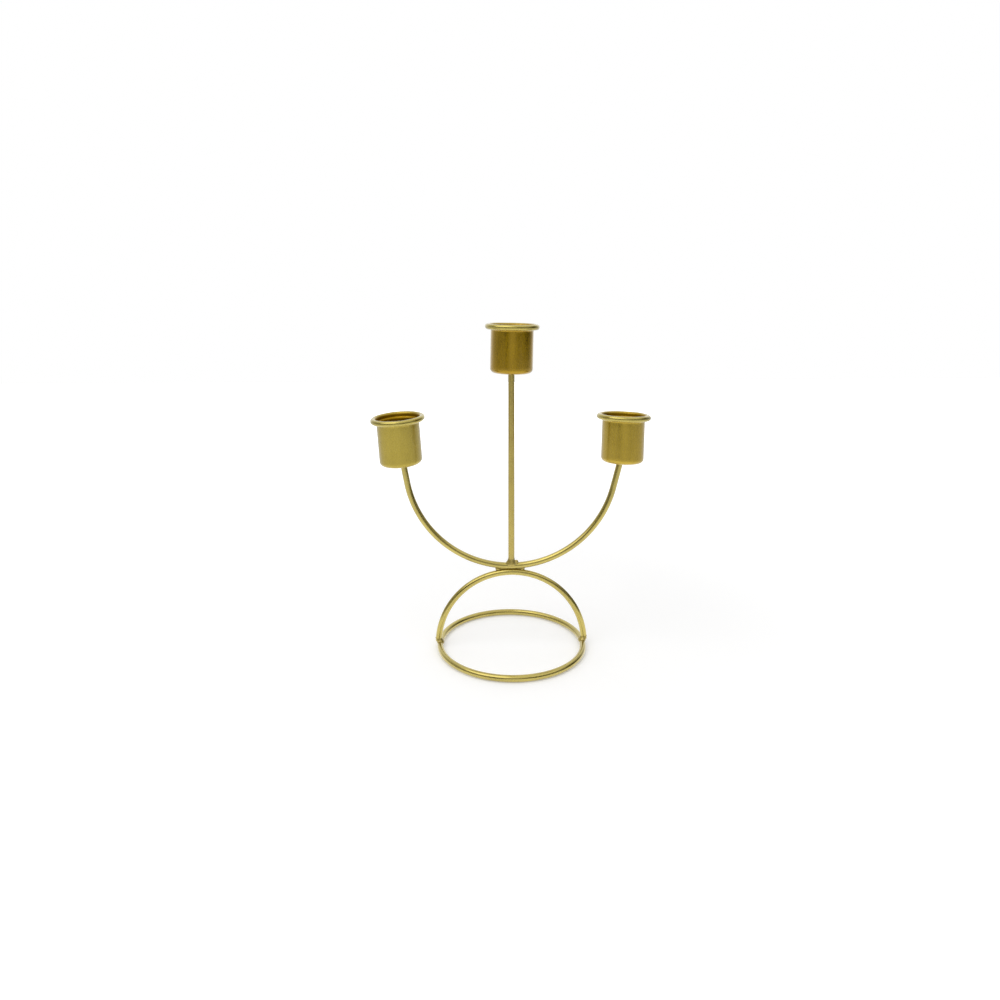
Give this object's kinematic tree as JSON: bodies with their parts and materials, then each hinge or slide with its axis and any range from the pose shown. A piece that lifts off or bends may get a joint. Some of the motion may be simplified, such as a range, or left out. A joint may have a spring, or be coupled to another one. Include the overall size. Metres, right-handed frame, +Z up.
{
  "type": "candle holder",
  "caption": "Welded wire candle holder: a ring foot and arch carry a curved arm and an upright post, with a round rolled-rim candle cup on each wire end.",
  "frame": {"origin": "centre of the base ring, on the surface it stands on", "axes": "+X along the row of cups, +Y to the back, +Z up"},
  "size_m": [0.185, 0.1, 0.218],
  "materials": {
    "wire": "satin",
    "cup": "satin",
    "weld": "satin"
  },
  "bodies": {
    "root": {"base_ring": "wire", "arch": "wire", "arm": "wire", "post": "wire", "left_cup": "cup", "centre_cup": "cup", "right_cup": "cup", "left_foot_weld": "weld", "right_foot_weld": "weld", "crown_weld": "weld", "post_weld": "weld", "left_cup_weld": "weld", "centre_cup_weld": "weld", "right_cup_weld": "weld"}
  },
  "joints": []
}
